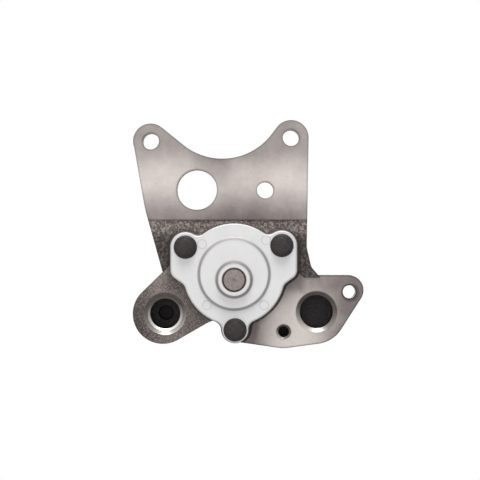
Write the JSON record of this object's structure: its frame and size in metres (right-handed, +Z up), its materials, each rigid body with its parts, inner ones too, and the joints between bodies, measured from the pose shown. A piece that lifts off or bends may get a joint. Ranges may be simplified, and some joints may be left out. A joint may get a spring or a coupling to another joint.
{
  "type": "engine oil pump",
  "caption": "Gerotor oil pump with a flat cast mounting plate, an aluminium cover, a spur drive gear, a flanged suction port and a relief valve behind its delivery port.",
  "frame": {"origin": "centre of the idler shaft's bore, in the plane of the machined mounting face", "axes": "+X to the right as seen from the cover side, +Y from the cover side to the gear side along every shaft and bore, +Z up towards the crankshaft"},
  "size_m": [0.1523, 0.0847, 0.1508],
  "materials": {
    "cast_iron": "sand cast grey iron, dark brown-grey skin, with satin machined faces",
    "cover_aluminium": "matte die-cast aluminium",
    "black_steel": "black phosphated steel",
    "ground_steel": "turned and ground steel",
    "sintered_steel": "sintered steel, faces ground",
    "gear_steel": "hobbed steel",
    "zinc_steel": "zinc plated steel",
    "spring_steel": "drawn spring wire",
    "bush_bronze": "bronze bush",
    "soft_copper": "soft copper washer"
  },
  "bodies": {
    "housing": {"pump_body": "cast_iron", "front_cover": "cover_aluminium", "cover_bolt_upper_right": "black_steel", "cover_bolt_upper_left": "black_steel", "cover_bolt_bottom": "black_steel", "dowel_right": "ground_steel", "dowel_left": "ground_steel", "rear_bush": "bush_bronze", "relief_plug": "zinc_steel", "relief_washer": "soft_copper", "relief_spring": "spring_steel"},
    "drive": {"drive_shaft": "ground_steel", "rotor_drive_pin": "ground_steel", "inner_rotor": "sintered_steel", "drive_gear": "gear_steel", "gear_key": "ground_steel", "gear_washer": "zinc_steel", "gear_nut": "black_steel"},
    "outer_ring": {"outer_rotor": "sintered_steel"},
    "relief_valve": {"relief_plunger": "ground_steel"}
  },
  "joints": [
    {"name": "drive_spin", "type": "hinge", "parent": "housing", "child": "drive", "pos_m": [0.0247, 0, -0.05877], "axis": [0, -1, 0], "continuous": true},
    {"name": "outer_ring_spin", "type": "hinge", "parent": "housing", "child": "outer_ring", "pos_m": [0.0247, 0, -0.05527], "axis": [0, -1, 0], "continuous": true},
    {"name": "relief_slide", "type": "slide", "parent": "housing", "child": "relief_valve", "axis": [0, 1, 0], "range_m": [0, 0.006], "stiffness_N_per_m": 3000, "springref_m": -0.01, "deforming": ["relief_spring"]}
  ],
  "couplings": [
    {"joint": "outer_ring_spin", "follows": "drive_spin", "ratio": 0.8}
  ]
}
